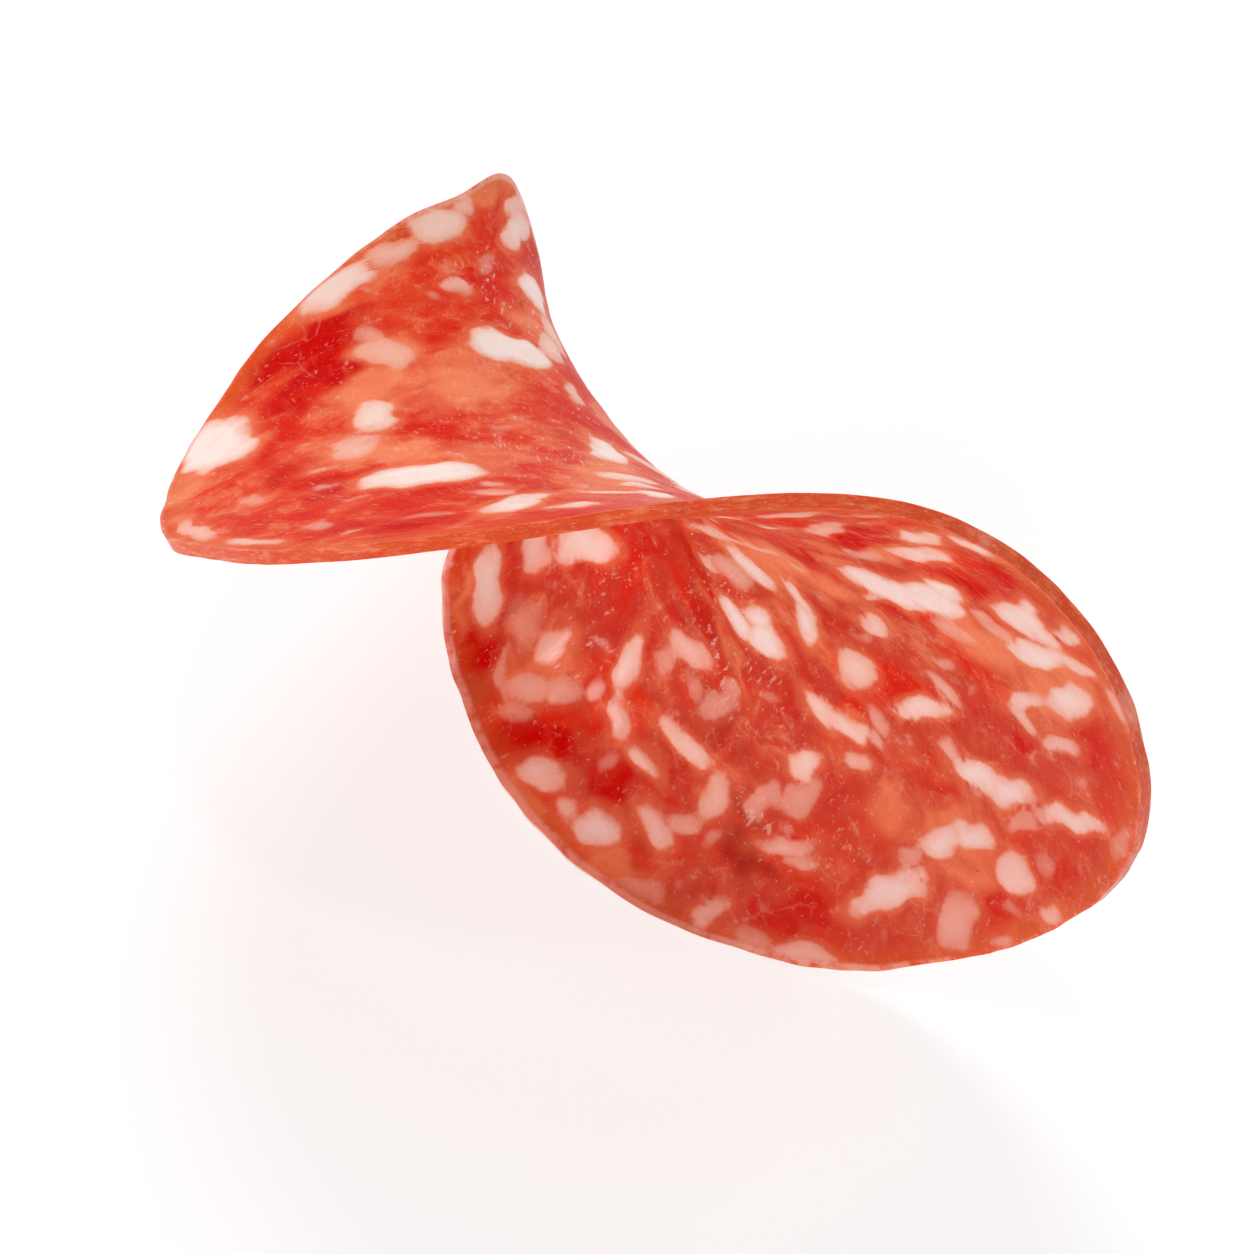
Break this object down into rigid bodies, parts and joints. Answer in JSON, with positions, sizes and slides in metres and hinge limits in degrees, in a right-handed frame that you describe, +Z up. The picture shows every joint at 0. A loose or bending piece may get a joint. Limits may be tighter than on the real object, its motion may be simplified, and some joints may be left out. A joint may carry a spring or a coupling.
{
  "type": "slice of cured sausage",
  "caption": "Thin round slice of dry cured salami twisted half a turn about its middle, resting on the lower stretch of its rim.",
  "frame": {"origin": "on the surface the slice rests on, below the middle of its bounding box", "axes": "+Z up; +X to the right as the slice is seen from the front; +Y to the back"},
  "size_m": [0.0694, 0.0634, 0.0644],
  "materials": {
    "cured_meat": "moist semi-gloss cut meat with pinkish-white fat pieces, orange-red towards the rim"
  },
  "bodies": {
    "root": {"salami_slice": "cured_meat"}
  },
  "joints": []
}
